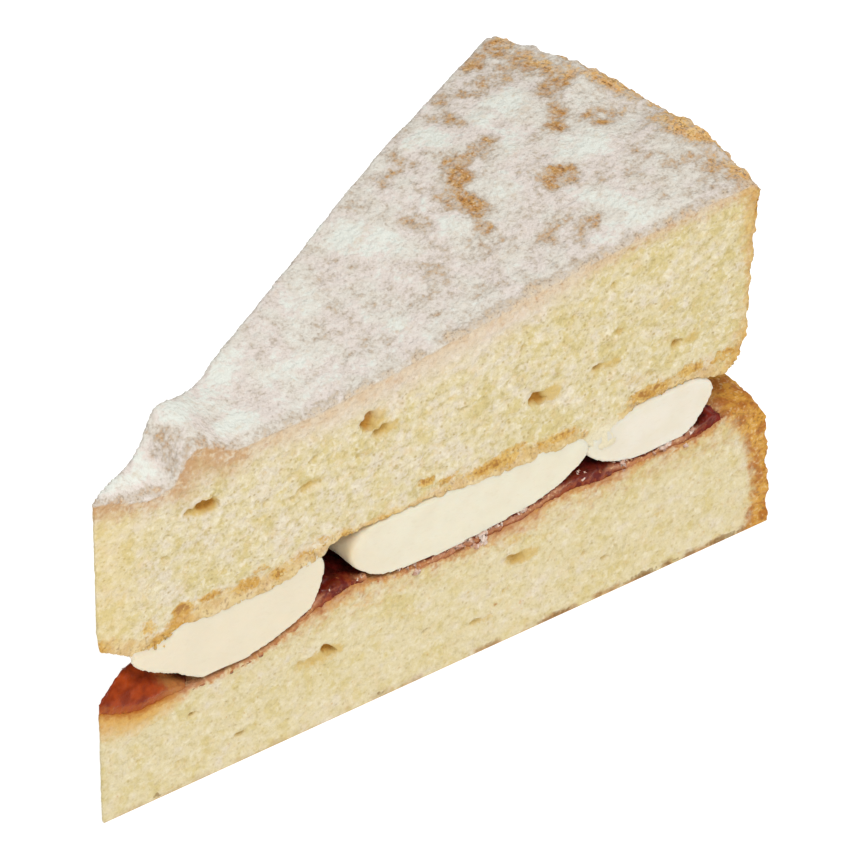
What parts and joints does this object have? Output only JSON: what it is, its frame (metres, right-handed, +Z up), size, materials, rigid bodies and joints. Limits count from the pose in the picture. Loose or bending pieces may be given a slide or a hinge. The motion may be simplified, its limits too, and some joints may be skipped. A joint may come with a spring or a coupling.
{
  "type": "victoria sponge cake slice",
  "caption": "Wedge slice of a two-layer sponge cake with jam, piped buttercream and an icing sugar top, standing upright on its flat base.",
  "frame": {"origin": "centre of the slice's box at the level of the surface it stands on", "axes": "+X from the point of the slice to its rim, +Y from the front cut to the back cut, +Z up"},
  "size_m": [0.1307, 0.0578, 0.072],
  "materials": {
    "sponge": "pale yellow open crumb at the cuts, golden brown baked crust on top and round the rim",
    "jam": "dark red, glossy and wet, soaked into the crumb below",
    "buttercream": "off-white, smooth and soft"
  },
  "bodies": {
    "root": {"lower_sponge": "sponge", "jam": "jam", "cream_inner": "buttercream", "cream_middle": "buttercream", "cream_outer": "buttercream", "upper_sponge": "sponge"}
  },
  "joints": []
}
